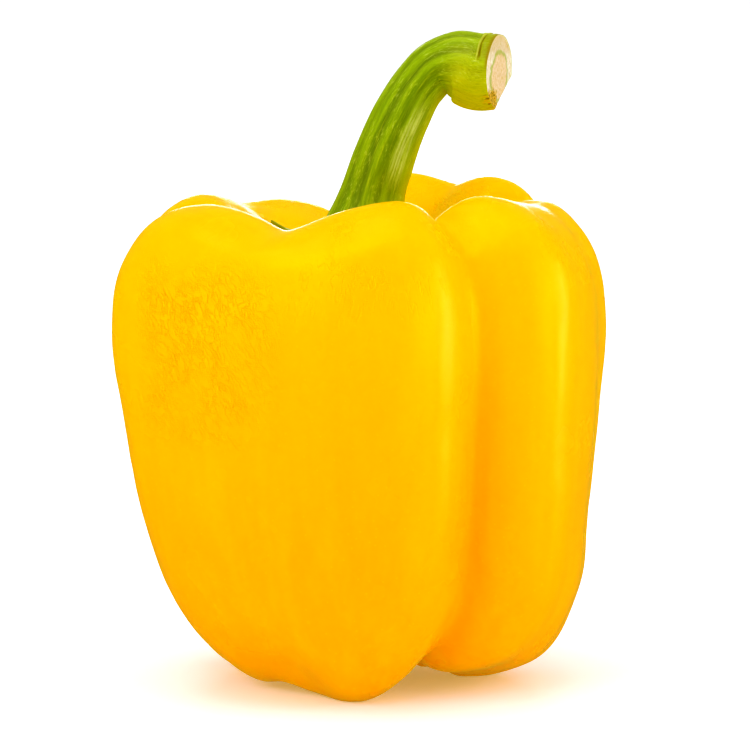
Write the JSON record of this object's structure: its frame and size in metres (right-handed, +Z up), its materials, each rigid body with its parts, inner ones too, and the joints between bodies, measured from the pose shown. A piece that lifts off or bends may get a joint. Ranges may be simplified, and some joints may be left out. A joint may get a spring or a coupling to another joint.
{
  "type": "bell pepper",
  "caption": "Blocky lobed bell pepper with a waxy skin that stands upright on its lobe tips, with a curved green stalk cut short.",
  "frame": {"origin": "centre of the bounding box's footprint, on the surface that the lobe tips stand on", "axes": "+Z up through the fruit to the stalk, +X towards the side that the stalk leans to, -Y towards the broad front lobe"},
  "size_m": [0.0892, 0.0889, 0.119],
  "materials": {
    "fruit_skin": "waxy satin-gloss skin, golden yellow above shading to orange-yellow below",
    "stem_skin": "satin green skin with long pale and dark streaks, pale fibrous cut end"
  },
  "bodies": {
    "root": {"fruit": "fruit_skin", "stem": "stem_skin"}
  },
  "joints": []
}
